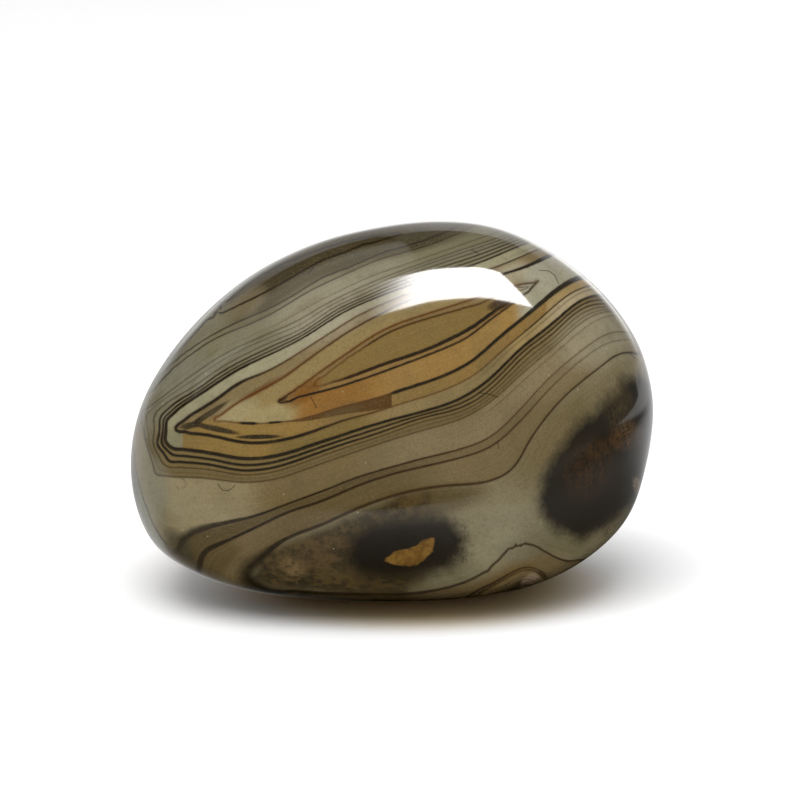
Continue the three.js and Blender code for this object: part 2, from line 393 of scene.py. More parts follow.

# Soft patches, three of them partly painted glow beside the highlight: (middle, half length and
# height, turn in degrees, softness, colour, strength).
PATCHES = (
    ((-8.9, 1.2), (1.8, 0.7), 35, 0.6, (103, 64, 14), 0.8),
    # The next two: milky veil left of the highlight, partly the stone's own milky haze, partly a
    # painted glow of the softbox's soft edge.
    ((-4.5, 9.9), (5.5, 1.7), 33, 0.7, (150, 144, 126), 0.5),
    ((-8.0, 9.9), (3.6, 1.6), 30, 0.7, (140, 132, 112), 0.5),
    ((-21.3, 3.2), (2.4, 1.6), 38, 0.7, (114, 113, 98), 0.7),
    ((-18.6, 7.5), (2.6, 1.2), 42, 0.9, (116, 111, 90), 0.85),
    ((1.9, 16.4), (4.8, 0.9), 14, 0.7, (52, 46, 26), 0.95),
    ((-14.6, 10.2), (1.7, 0.8), 38, 0.8, (107, 96, 74), 0.85),
    ((4.0, -9.7), (4.0, 1.2), 12, 0.7, (74, 62, 36), 0.9),
    ((-15.4, -0.5), (1.8, 0.8), 20, 0.6, (138, 127, 92), 0.8),
    ((20.5, 6.8), (3.2, 2.2), 20, 0.8, (152, 146, 124), 0.6),
    ((16.6, 4.2), (3.6, 1.8), 45, 0.8, (130, 118, 90), 0.3),
    ((-17.6, -15.4), (2.2, 1.2), 30, 0.7, (74, 60, 30), 0.75),
    ((-24.3, -7.5), (1.5, 4.0), 10, 0.6, (98, 96, 78), 0.6),
    ((16.4, -3.2), (1.9, 4.8), -42, 0.7, (97, 84, 54), 0.85),
    ((16.5, -13.4), (2.6, 1.0), -10, 0.7, (92, 86, 60), 0.6),
    ((9.0, -14.9), (3.0, 1.6), 25, 0.8, (137, 130, 103), 0.75),
    ((6.2, -16.8), (2.2, 1.0), 10, 0.8, (114, 107, 82), 0.9),
    ((12.8, -14.6), (1.9, 0.9), 0, 0.8, (114, 107, 86), 0.75),
    ((12.5, -11.8), (4.0, 1.6), 10, 0.9, (124, 117, 93), 0.6),
    ((-21.3, -14.3), (1.5, 0.7), -55, 0.9, (50, 46, 34), 0.85),
    ((11.6, -17.2), (3.6, 0.6), 30, 0.7, (104, 86, 48), 0.6),
    ((12.3, -18.15), (1.0, 0.16), 32, 0.6, (40, 36, 26), 0.9),
    ((15.0, -17.0), (0.4, 0.25), -45, 0.7, (50, 38, 22), 0.8),
    ((10.7, 10.1), (1.1, 0.45), 20, 0.5, (44, 26, 12), 0.9),
    # Pale patch at the highlight's lower right edge: partly the bands' own grey, partly a painted glow
    # of the highlight's edge.
    ((11.6, 13.0), (1.7, 0.8), 25, 0.7, (150, 143, 120), 0.85),
    ((-18.75, -1.15), (2.5, 0.27), 33, 0.3, (32, 22, 10), 1.0),
    ((-20.2, -2.05), (1.1, 0.3), 10, 0.4, (34, 24, 11), 0.95),
    ((-17.7, -2.4), (2.2, 0.28), -12, 0.35, (34, 24, 10), 0.95),
    ((-13.4, -3.2), (2.1, 0.22), 1, 0.3, (34, 25, 11), 1.0),
    ((-11.0, 0.56), (0.5, 0.14), 25, 0.5, (34, 24, 12), 0.95),
    ((-13.0, 1.75), (1.6, 0.22), 33, 0.7, (84, 56, 20), 0.6),
    ((13.7, -17.5), (0.8, 0.42), 28, 0.5, (158, 138, 118), 0.85),
)

# Brown patches inside the foot pocket and the right-hand blotch, broken up into flecks.
BLOTCH_PATCHES = (
    ((-10.0, -16.4), (1.0, 0.9), -30, 0.6, (122, 100, 68), 0.8),
    ((-7.0, -14.8), (2.6, 1.3), 20, 0.6, (84, 66, 42), 0.6),
    ((19.6, -6.4), (1.7, 2.2), -20, 0.9, (70, 48, 29), 0.6),
    ((23.3, -3.0), (1.1, 1.0), 10, 0.9, (98, 68, 38), 0.75),
    ((21.4, -4.2), (1.6, 0.6), 15, 0.9, (70, 52, 32), 0.6),
    ((22.4, 0.2), (1.1, 2.0), 10, 0.9, (76, 62, 38), 0.7),
    ((24.5, -8.2), (0.35, 0.8), 15, 0.6, (170, 145, 110), 0.7),
)
# Small ring marks, (middle, radius); cracks and scratches, (start, end); and grains of pale dust.
RINGS = (
    ((-21.2, -7.9), 0.5), ((7.0, -12.4), 0.26), ((7.4, -12.9), 0.2), ((7.0, -13.5), 0.3),
    ((7.5, -13.9), 0.2), ((7.2, -14.5), 0.28), ((7.7, -15.0), 0.2), ((7.2, -15.6), 0.24),
)
SCRATCHES = (
    ((8.5, 1.2), (9.6, 1.1)), ((9.6, 1.1), (10.5, 0.75)), ((10.5, -3.6), (10.6, -4.4)),
    ((7.9, 15.5), (8.6, 15.1)), ((-8.2, 0.8), (-7.6, -0.3)), ((-7.8, 13.9), (-8.5, 13.0)),
    ((14.7, 13.45), (15.6, 13.4)), ((15.6, 13.4), (16.2, 12.95)), ((16.2, 12.95), (16.6, 12.1)),
    ((-17.5, -7.9), (-17.0, -8.55)), ((-17.0, -8.55), (-16.4, -8.6)), ((-16.4, -8.6), (-15.8, -8.1)),
    ((12.2, 11.7), (13.6, 11.8)), ((12.7, 11.4), (13.5, 11.7)), ((25.0, 4.2), (25.3, 3.0)),
    ((25.3, 3.0), (25.1, 1.9)), ((23.7, 5.2), (24.3, 4.6)),
)
SPECKS = (
    (-5.0, 1.3), (-10.9, -8.95), (-2.7, -5.8), (-3.5, -10.75), (-18.5, -13.15), (-21.0, -12.5),
    (21.4, 5.65), (15.6, 3.0), (18.5, 1.5), (-18.7, 3.1), (-23.0, 0.1), (-5.9, -14.4),
)

# The soft lights, in metres: (name, place, size, the point that it faces).
LIGHTS = (
    ("overhead", (-0.08, -0.24, 0.47), (0.45, 0.35), (0.0, 0.0, 0.02)),
    ("fill", (0.0, 0.0, 1.2), (1.6, 1.2), (0.0, 0.0, 0.0)),
)

# Studio cards that the polish reflects, in metres.
SOFTBOX_HEIGHT = 0.45
SOFTBOX_OUTLINE = (
    (0.36, 0.041), (0.30, 0.085), (0.22, 0.148), (0.144, 0.137), (0.085, 0.115), (0.0, 0.087),
    (-0.1, 0.05), (-0.25, 0.0), (-0.25, -0.2), (-0.1, -0.14), (-0.04, -0.112), (0.044, -0.082),
    (0.151, -0.06), (0.257, -0.027), (0.318, 0.006),
)
FLOOR_CARD_HEIGHT = 0.0005
FLOOR_CARD_OUTLINE = ((-0.7, -0.8), (0.7, -0.8), (0.7, 0.6), (-0.7, 0.6))
BACK_CARD_CORNERS = ((-0.7, 0.6, 0.0), (0.7, 0.6, 0.0), (0.7, 0.6, 0.3), (-0.7, 0.6, 0.3))
SIDE_CARD_CORNERS = ((-0.03, 0.3, 0.15), (-0.5, 0.1, 0.15), (-0.5, 0.1, 0.75), (-0.03, 0.3, 0.75))

# Colours, as displayed 0-255 values up to the dust.
BLACK_LINE = (33, 27, 15)
BROWN_LINE = (80, 42, 10)
POCKET_DARK = (38, 30, 15)
POCKET_BROWN = (76, 61, 34)
BLOTCH_BLACK = (25, 21, 14)
SPOT_TAN = (118, 88, 38)
SPOT_BROWN = (92, 66, 26)
CLOUD_SHADE = (84, 74, 48)
GRAIN_SHADE = (62, 52, 32)
AMBER = (150, 100, 40)
WEDGE_BROWN = (68, 42, 10)
LIGHT_GROWTH = (150, 140, 112)
PALE_DUST = (190, 180, 150)
BODY_TONE = (0.93, 0.93, 0.92, 1.0)  # what the whole stone's colour is multiplied by
GLOW_SPREAD = (1.0, 0.7, 0.4)  # how far red, green and blue spread under the surface, as shares
WHITE, BLACK = (1.0, 1.0, 1.0, 1.0), (0.0, 0.0, 0.0, 1.0)


def shown(colour):
    """The scene-linear colour of a displayed 0-255 colour."""
    shares = [value / 255 for value in colour]
    linear = [v / 12.92 if v <= 0.04045 else ((v + 0.055) / 1.055) ** 2.4 for v in shares]
    return (*linear, 1.0)


def eased(share):
    """A share from 0 to 1 with soft ends."""
    share = np.clip(share, 0.0, 1.0)
    return share * share * (3 - 2 * share)


# ---------------------------------------------------------------------------------------------
# The pattern's numbers at each vertex
# ---------------------------------------------------------------------------------------------

BACK_START, BACK_SPAN = 2.0, 14.0  # depth past the stone's middle over which the bands drift
BACK_SHRINK = 0.24  # share by which the bands close in towards the back
BACK_SHIFT = (1.6, -1.4)
BACK_WAVE = 1.0
BACK_WAVES = ((4.3, 0.6), (3.7, 1.9))  # across and up: millimetres a radian, start in radians
CURVE_STEPS = 20  # steps of a guide's curve from one of its points to the next
SMOOTHINGS = 2  # rounds of evening out that curve
AXIS_BLEND = 0.4  # millimetres on each side of the eye's axis, over which the patterns change over
AXIS_BLEND_GROWS = 0.5  # how much wider that is for each millimetre past the eye's left end
LEAST_GAP = 1e-9  # keeps a distance off zero


def pattern_plane(points, middle):
    """Where the sheet of colour through each point crosses the drawn plane: (across, up), and
    how far the point lies towards the back, from 0 to 1."""
    offset = points - middle
    up_axis = np.array([0.0, math.sin(BAND_TILT), math.cos(BAND_TILT)])
    back_axis = np.array([0.0, math.cos(BAND_TILT), -math.sin(BAND_TILT)])
    depth = offset @ back_axis
    spread = FAN_DISTANCE / (FAN_DISTANCE + depth)
    across = offset[:, 0] * spread
    up = (offset @ up_axis) * spread
    back = eased((depth - BACK_START) / BACK_SPAN)
    waves = [BACK_WAVE * np.sin(place / stretch + start)
             for place, (stretch, start) in zip((across, up), BACK_WAVES)]
    new_across = across + back * (BACK_SHIFT[0] - BACK_SHRINK * across + waves[1])
    new_up = up + back * (BACK_SHIFT[1] - BACK_SHRINK * up + waves[0])
    return new_across, new_up, back


def drawn_through(line, spacing):
    """Evenly spaced points of a smooth curve through a guide line's points."""
    if len(line) == 1:
        return np.array(line)
    knots = np.array(line)
    padded = np.vstack([2 * knots[0] - knots[1], knots, 2 * knots[-1] - knots[-2]])
    curve = [knots[:1]]
    steps = np.linspace(0, 1, CURVE_STEPS + 1)[1:, None]
    square, cube = steps ** 2, steps ** 3
    for a, b, c, d in zip(padded, padded[1:], padded[2:], padded[3:]):
        before, here, after = (math.sqrt(math.dist(*pair)) for pair in ((a, b), (b, c), (c, d)))
        leave = here * ((b - a) / before - (c - a) / (before + here) + (c - b) / here)
        arrive = here * ((c - b) / here - (d - b) / (here + after) + (d - c) / after)
        curve.append((2 * cube - 3 * square + 1) * b + (cube - 2 * square + steps) * leave
                     + (3 * square - 2 * cube) * c + (cube - square) * arrive)
    curve = np.vstack(curve)
    reach = np.concatenate([[0], np.cumsum(np.linalg.norm(np.diff(curve, axis=0), axis=1))])
    marks = np.linspace(0, reach[-1], max(2, round(reach[-1] / spacing) + 1))
    points = np.column_stack([np.interp(marks, reach, curve[:, axis]) for axis in (0, 1)])
    for _ in range(SMOOTHINGS):
        points[1:-1] = (points[:-2] + 2 * points[1:-1] + points[2:]) / 4
    return points


class BandSurface:
    """The smooth surface of levels that passes through every guide line."""

    SCALE = 10.0  # millimetres to a unit of the equations
    SPACING = 0.9
    SAME_PLACE = 4  # decimals to which two guide points must agree to count as one
    BATCH = 3000  # places read at once

    def __init__(self, guides):
        lines = [drawn_through(line, self.SPACING) for _, _, line in guides]
        points = np.vstack(lines) / self.SCALE
        levels = np.concatenate([np.full(len(line), level, float)
                                 for line, (_, level, _) in zip(lines, guides)])
        points, firsts = np.unique(points.round(self.SAME_PLACE), axis=0, return_index=True)
        levels = levels[firsts]
        count = len(points)
        flat = np.column_stack([np.ones(count), points])
        system = np.zeros((count + 3, count + 3))
        system[:count, :count] = self.bend(self.gaps(points, points)[2])
        system[:count, count:] = flat
        system[count:, :count] = flat.T
        weights = np.linalg.solve(system, np.concatenate([levels, np.zeros(3)]))
        self.points, self.weights, self.plane = points, weights[:count], weights[count:]

    @staticmethod
    def gaps(places, points):
        """How far each place is from each point: across, up and straight."""
        across = places[:, None, 0] - points[None, :, 0]
        up = places[:, None, 1] - points[None, :, 1]
        return across, up, np.hypot(across, up) + LEAST_GAP

    @staticmethod
    def bend(reach):
        """How a thin sheet bends away from a point that holds it."""
        return reach ** 2 * np.log(reach)

    def read(self, across, up):
        """Level, and how fast it climbs in levels a millimetre, at each place."""
        places = np.column_stack([across, up]) / self.SCALE
        level, climb = np.empty(len(places)), np.empty(len(places))
        base, slope = self.plane[0], self.plane[1:]
        for start in range(0, len(places), self.BATCH):
            part = slice(start, start + self.BATCH)
            dx, dy, reach = self.gaps(places[part], self.points)
            level[part] = self.bend(reach) @ self.weights + base + places[part] @ slope
            pull = (2 * np.log(reach) + 1) * self.weights
            climb[part] = np.hypot((pull * dx).sum(1) + slope[0], (pull * dy).sum(1) + slope[1])
        return level, climb / self.SCALE


def above_eye(across, up):
    """0 below the eye's long axis and 1 above it."""
    axis = np.array(EYE_AXIS)
    height = np.interp(across, axis[:, 0], axis[:, 1])
    blend = AXIS_BLEND + AXIS_BLEND_GROWS * np.clip(axis[1, 0] - across, 0, None)
    return eased((up - height) / (2 * blend) + 0.5)


def depth_inside(outline, across, up):
    """Distance from each place to a closed outline, positive inside it."""
    corners = np.array(outline)
    place = np.column_stack([across, up])
    nearest = np.full(len(place), np.inf)
    inside = np.zeros(len(place), bool)
    for start, end in zip(corners, np.roll(corners, -1, axis=0)):
        edge = end - start
        share = np.clip(((place - start) @ edge) / (edge @ edge), 0, 1)
        nearest = np.minimum(nearest, np.linalg.norm(place - start - share[:, None] * edge, axis=1))
        crosses = (start[1] > up) != (end[1] > up)
        if start[1] != end[1]:
            inside ^= crosses & (across < start[0] + (up - start[1]) * edge[0] / edge[1])
    return np.where(inside, nearest, -nearest)


def store(mesh, name, *columns):
    """Keeps three numbers at every vertex of a mesh, for its material to read."""
    layer = mesh.attributes.new(name, "FLOAT_VECTOR", "POINT")
    layer.data.foreach_set("vector", np.column_stack(columns).astype(np.float32).ravel())


def store_pattern(mesh):
    """Works out the bands and blotches at every vertex of the pebble."""
    flat = np.empty(len(mesh.vertices) * 3, np.float32)
    mesh.vertices.foreach_get("co", flat)
    points = flat.reshape(-1, 3).astype(float) / MM
    low, high = (np.array(corner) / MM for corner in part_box(NODE))
    across, up, back = pattern_plane(points, (low + high) / 2)
    level, climb = BandSurface(GUIDES).read(across, up)
    right_blotch, foot_blotch, tan_spot, pocket = (
        depth_inside(outline, across, up)
        for outline in (RIGHT_BLOTCH, FOOT_BLOTCH, TAN_SPOT, FOOT_POCKET))
    spare = np.zeros(len(up))  # an attribute holds three numbers, and the pocket needs only one
    store(mesh, "bands", level, climb, above_eye(across, up))
    store(mesh, "place", across, up, back)
    store(mesh, "blotches", right_blotch, foot_blotch, tan_spot)
    store(mesh, "pocket", pocket, spare, spare)


# ---------------------------------------------------------------------------------------------
# Materials
# ---------------------------------------------------------------------------------------------


class Wire:
    """A number in a material, on which Python's operators make Math nodes."""

    def __init__(self, paint, socket):
        self.paint = paint
        self.socket = socket

    def __add__(self, other):
        return self.paint.maths("ADD", self, other)

    def __sub__(self, other):
        return self.paint.maths("SUBTRACT", self, other)

    def __rsub__(self, other):
        return self.paint.maths("SUBTRACT", other, self)

    def __mul__(self, other):
        return self.paint.maths("MULTIPLY", self, other)

    def __truediv__(self, other):
        return self.paint.maths("DIVIDE", self, other)

    def __abs__(self):
        return self.paint.maths("ABSOLUTE", self)

    __radd__ = __add__
    __rmul__ = __mul__


class Paint:
    """A material's node tree, and the few kinds of node that it is made of."""

    def __init__(self, name):
        self.material = bpy.data.materials.new(name)
        self.material.use_nodes = True
        self.tree = self.material.node_tree
        self.tree.nodes.clear()

    def place(self):
        """The object coordinates, in metres, as three numbers."""
        return self.split(self.node("ShaderNodeTexCoord").outputs["Object"])

    def node(self, kind, settings=None, inputs=None):
        """A node of any kind. Its settings are set first, then its inputs are set or linked."""
        made = self.tree.nodes.new(kind)
        for name, value in (settings or {}).items():
            if name == "stops":
                self.set_stops(made.color_ramp, value)
            else:
                setattr(made, name, value)
        for key, value in (inputs or {}).items():
            if isinstance(value, Wire):
                value = value.socket
            if isinstance(value, bpy.types.NodeSocket):
                self.tree.links.new(value, made.inputs[key])
            else:
                made.inputs[key].default_value = value
        return made

    @staticmethod
    def set_stops(ramp, stops):
        """Gives a ramp its (position, colour) stops. A stop that moves can change places with
        another, so the colours are set after all of the positions."""
        while len(ramp.elements) < len(stops):
            ramp.elements.new(1.0)
        for element, (position, _) in zip(ramp.elements, stops):
            element.position = position
        for element, (_, colour) in zip(ramp.elements, stops):
            element.color = colour

    def maths(self, operation, *values):
        """The result of a Math node."""
        made = self.node("ShaderNodeMath", {"operation": operation}, dict(enumerate(values)))
        return Wire(self, made.outputs[0])

    def fade(self, value, start, end, top=1.0):
        """0 at start and top at end, with soft ends. Start may be the greater. The steps end at 0
        and top without the node's clamp, which would cost room in a shader as large as this."""
        made = self.node("ShaderNodeMapRange", {"interpolation_type": "SMOOTHSTEP", "clamp": False},
                         {"Value": value, "From Min": start, "From Max": end, "To Max": top})
        return Wire(self, made.outputs["Result"])

    def between(self, value, low, high, soft_low, soft_high=None):
        """1 between two values and 0 outside them."""
        soft_high = soft_low if soft_high is None else soft_high
        rises = self.fade(value, low - soft_low / 2, low + soft_low / 2)
        falls = self.fade(value, high + soft_high / 2, high - soft_high / 2)
        return rises * falls

    def mix(self, share, first, second, blend="MIX"):
        """One colour turned into another."""
        made = self.node("ShaderNodeMix", {"data_type": "RGBA", "blend_type": blend},
                         {0: share, 6: first, 7: second})
        return made.outputs[2]

    def ramp(self, value, stops):
        """A colour that changes with a value, by (position, colour) stops."""
        return self.node("ShaderNodeValToRGB", {"stops": stops}, {"Fac": value}).outputs["Color"]

    def attribute(self, name):
        """The three numbers kept under a name at each vertex, together."""
        return self.node("ShaderNodeAttribute", {"attribute_name": name}).outputs["Vector"]

    def split(self, vector):
        """The three numbers of a vector, one by one."""
        parts = self.node("ShaderNodeSeparateXYZ", None, {0: vector})
        return [Wire(self, output) for output in parts.outputs]

    def noise(self, size, detail, shift):
        """Cloudy numbers around 0.5, in clouds of a size in millimetres."""
        spot = self.node("ShaderNodeTexCoord").outputs["Object"]
        moved = self.node("ShaderNodeMapping", None,
                          {"Vector": spot, "Location": (shift, shift, shift)}).outputs[0]
        made = self.node("ShaderNodeTexNoise", None, {
            "Vector": moved, "Scale": 1 / (size * MM), "Detail": detail,
            "Roughness": NOISE_ROUGHNESS})
        return Wire(self, made.outputs[0])

    def grain_along(self, value, size):
        """Uneven numbers around 0.5 that change only with one value, as growth lines do."""
        made = self.node("ShaderNodeTexNoise", {"noise_dimensions": "1D"}, {
            "W": value * (1 / size), "Scale": 1.0, "Detail": GROWTH_DETAIL,
            "Roughness": GROWTH_ROUGHNESS})
        return Wire(self, made.outputs[0])

    def vectors(self, operation, result, *values):
        """One result of a Vector Math node."""
        made = self.node("ShaderNodeVectorMath", {"operation": operation}, dict(enumerate(values)))
        return Wire(self, made.outputs[result])

    def patch(self, spot, middle, half, turn, soft, strength):
        """Strength inside an ellipse of the bands' plane, and 0 outside it."""
        cosine, sine = math.cos(math.radians(turn)), math.sin(math.radians(turn))
        out = self.vectors("SUBTRACT", "Vector", spot, (*middle, 0.0))
        along = self.vectors("DOT_PRODUCT", "Value", out, (cosine / half[0], sine / half[0], 0.0))
        over = self.vectors("DOT_PRODUCT", "Value", out, (-sine / half[1], cosine / half[1], 0.0))
        reach = self.maths("MULTIPLY_ADD", along, along, over * over)
        return self.fade(reach, (1 + soft) ** 2, (1 - soft) ** 2, strength)

    def gap(self, spot, middle):
        """Distance from a point of the bands' plane."""
        return self.vectors("DISTANCE", "Value", spot, (*middle, 0.0))

    def stroke(self, spot, start, end, width):
        """A thin line between two points of the bands' plane."""
        length = math.dist(start, end)
        heading = ((end[0] - start[0]) / length, (end[1] - start[1]) / length, 0.0)
        out = self.vectors("SUBTRACT", "Vector", spot, (*start, 0.0))
        along = self.vectors("DOT_PRODUCT", "Value", out, heading)
        kept = self.node("ShaderNodeClamp", None, {"Value": along, "Min": 0.0, "Max": length})
        foot = self.node("ShaderNodeVectorMath", {"operation": "SCALE"},
                         {0: heading, "Scale": kept.outputs[0]})
        return self.fade(self.vectors("DISTANCE", "Value", out, foot.outputs["Vector"]), width, 0.0)

    def most(self, values):
        """The greatest of several numbers."""
        greatest = values[0]
        for value in values[1:]:
            greatest = self.maths("MAXIMUM", greatest, value)
        return greatest


# Cloudy textures: size in millimetres, detail, and a shift that sets one apart from the next.
FINE, CLOUDS, GRAIN, DUST = (0.9, 3.0, 0.0), (5.0, 3.0, 0.3), (0.35, 2.0, 0.7), (0.16, 1.0, 0.5)
NOISE_ROUGHNESS = 0.55
HALF = 0.5  # the middle of a texture's values

PEN_START, PEN_SPAN = -27.0, 54.0  # how far across the lines' ramps reach
LINE_SOFTNESS = 0.07
FRINGE = 0.22  # how far rust creeps out of a line
FRINGE_STRENGTH, RUSTY_FRINGE = 0.1, 0.4  # without rust, and what full rust adds
THICK_LINE, THICK_SOFTNESS = 0.4, 0.9  # lines wider than this blur by this share of the rest
LINE_WOBBLE = 0.06
LEAST_CLIMB = 1.0  # levels a millimetre; a line is drawn as if they never climbed more slowly
FLAT_CLIMB = (0.9, 1.9)  # levels a millimetre between which the lines fade in
LEAST_INK, INK_VARIES = 0.85, 0.3  # the fine clouds make the lines' ink uneven

GROWTH_LINE = 1.6  # levels from one faint growth line to the next
GROWTH_DETAIL, GROWTH_ROUGHNESS = 4.0, 0.65
DARK_GROWTH, DARK_GROWTH_STRENGTH = (0.5, 0.75), 0.25
PALE_GROWTH, PALE_GROWTH_STRENGTH = (0.5, 0.25), 0.1
GROWTH_CLOUDS = (0.35, 0.6)  # dark growth lines show only in the clouds
# Faint layers over the bands' own colours: (texture, its values where the layer starts and where
# it is full, strength, colour).
LAYERS = (
    ("dust", 0.5, 0.75, 0.22, GRAIN_SHADE),
    ("dust", 0.5, 0.25, 0.12, LIGHT_GROWTH),
    ("clouds", 0.42, 0.75, 0.35, CLOUD_SHADE),
    ("fine", 0.5, 0.8, 0.22, CLOUD_SHADE),
    ("grain", 0.5, 0.8, 0.2, GRAIN_SHADE),
)

# How far each texture moves the edge of the smoke round the blotches and the pocket.
FINE_SMOKE, BROAD_SMOKE, SMOKE_FLECKS, SPOT_FLECKS = 0.9, 1.6, 0.45, 0.3
# Depths inside the outlines between which each one's colour comes up.
POCKET_EDGE, RIGHT_EDGE, FOOT_EDGE, SPOT_EDGE = (-0.7, 0.8), (-0.9, 1.2), (-1.1, 1.1), (-0.12, 0.12)
POCKET_STRENGTH, BLOTCH_STRENGTH = 0.9, 0.97
# Shares of the fine clouds, the broad clouds and the grain in the brown places' mottling, and the
# values between which the darker brown turns into the lighter.
MOTTLE, POCKET_MOTTLE, SPOT_MOTTLE = (0.5, 0.3, 0.2), (0.4, 0.6), (0.42, 0.6)
SPECKLE, SPECKLE_EDGE = (0.4, 0.2, 0.4), (0.32, 0.72)
BROWN_REACH = (-2.0, -6.0)  # how far from front to back the browns in the blotches reach

MARK_WIDTH = 0.09
SPECK_SIZE = 0.1
RING_GAPS = (0.4, 0.6)  # values of the fine clouds between which the rings break off
RING_STRENGTH, SCRATCH_STRENGTH, SPECK_STRENGTH = 0.5, 0.75, 0.6
AMBER_HEIGHTS, AMBER_STRENGTH = (1.7, 0.5), 0.7  # the warm light at the stone's foot


def band_colour(paint, level, side):
    """The body colour of the bands, from the zone tables."""
    span = ZONES[-1][0] - FIRST_LEVEL
    tables = []
    for column in (1, 2):
        stops, start = [], FIRST_LEVEL
        for zone in ZONES:
            colour = shown(zone[column])
            stops.append(((start + ZONE_EDGE - FIRST_LEVEL) / span, colour))
            stops.append(((zone[0] - ZONE_EDGE - FIRST_LEVEL) / span, colour))
            start = zone[0]
        tables.append(paint.ramp((level - FIRST_LEVEL) * (1 / span), stops))
    return paint.mix(side, *tables)


def pen_stops(stations):
    """A ramp's stops that hold a line's width, ink and rust along it."""
    return [((across - PEN_START) / PEN_SPAN, (*pen, 1.0)) for across, *pen in stations]


def draw_lines(paint, colour, level, climb, side, across, inked):
    """Draws each thin dark line, with the rust that has crept out of it."""
    along = (across - PEN_START) * (1 / PEN_SPAN)
    for line_level, (below, above) in PENS.items():
        pen = paint.mix(side, *(paint.ramp(along, pen_stops(stations)) for stations in (below, above)))
        parts = paint.node("ShaderNodeSeparateColor", None, {0: pen})
        width, ink, rust = (Wire(paint, output) for output in parts.outputs)
        half = width * 0.5
        distance = abs(level - line_level) / climb
        soft = paint.maths("MAXIMUM", (width - THICK_LINE) * THICK_SOFTNESS, LINE_SOFTNESS)
        fringe = paint.fade(distance - half, FRINGE, 0.0)
        fringe = fringe * ink * (rust * RUSTY_FRINGE + FRINGE_STRENGTH)
        colour = paint.mix(fringe, colour, shown(BROWN_LINE))
        cover = paint.fade((half - distance) / soft, -1.0, 1.0) * ink * inked
        line = paint.mix(rust, shown(BLACK_LINE), shown(BROWN_LINE))
        colour = paint.mix(cover, colour, line)
    return colour


